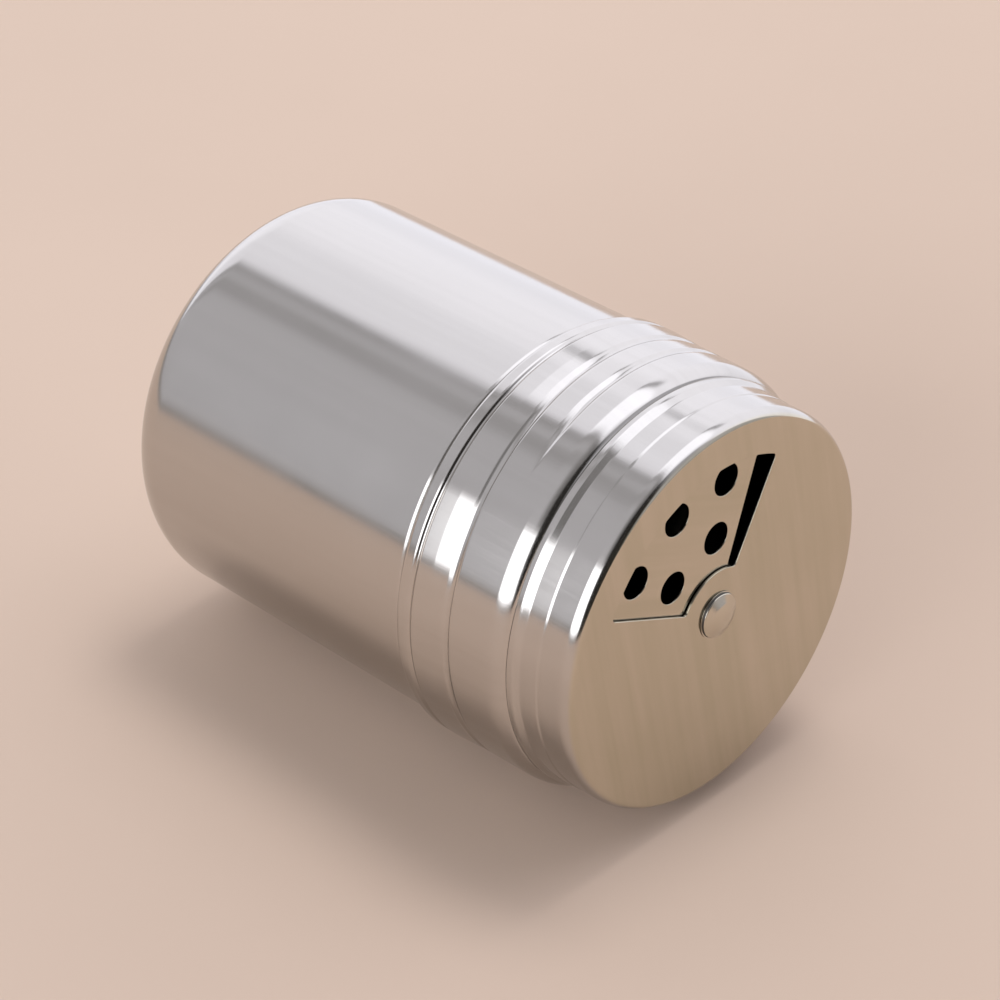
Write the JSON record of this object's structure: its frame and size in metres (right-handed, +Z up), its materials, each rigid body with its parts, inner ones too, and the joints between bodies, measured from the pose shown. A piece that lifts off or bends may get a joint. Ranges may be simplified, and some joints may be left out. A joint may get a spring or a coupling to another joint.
{
  "type": "spice shaker",
  "caption": "Stainless steel spice shaker: drawn jar, screw lid with shaking and pouring holes, and a riveted cover with a window that turns to choose them.",
  "frame": {"origin": "centre of the base, on the plane that the shaker stands on", "axes": "+Z up along the shaker's axis, from the base to the lid; the middle of the cover's window points 28 degrees from -Y towards -X"},
  "size_m": [0.066, 0.066, 0.0914],
  "materials": {
    "jar_steel": "polished, slightly soft, fine lengthwise grain",
    "lid_steel": "polished pressing with fine drawing marks",
    "cover_steel": "polished skirt, satin top face with faint straight grain",
    "rivet_steel": "polished",
    "washer_steel": "satin spring steel"
  },
  "bodies": {
    "jar": {"jar_body": "jar_steel"},
    "lid_pivot": {"pivot_rivet": "rivet_steel", "spring_washer": "washer_steel"},
    "lid": {"screw_lid": "lid_steel"},
    "cover": {"rotating_cover": "cover_steel"}
  },
  "joints": [
    {"name": "lid_lift", "type": "slide", "parent": "jar", "child": "lid_pivot", "axis": [0, 0, 1], "range_m": [0, 0.02668]},
    {"name": "lid_turn", "type": "hinge", "parent": "lid_pivot", "child": "lid", "pos_m": [0, 0, 0.06], "axis": [0, 0, 1], "range_deg": [0, 1980]},
    {"name": "cover_turn", "type": "hinge", "parent": "lid", "child": "cover", "pos_m": [0, 0, 0.09], "axis": [0, 0, 1], "continuous": true}
  ],
  "couplings": [
    {"joint": "lid_lift", "follows": "lid_turn", "m_per_rad": 0.0007719}
  ]
}
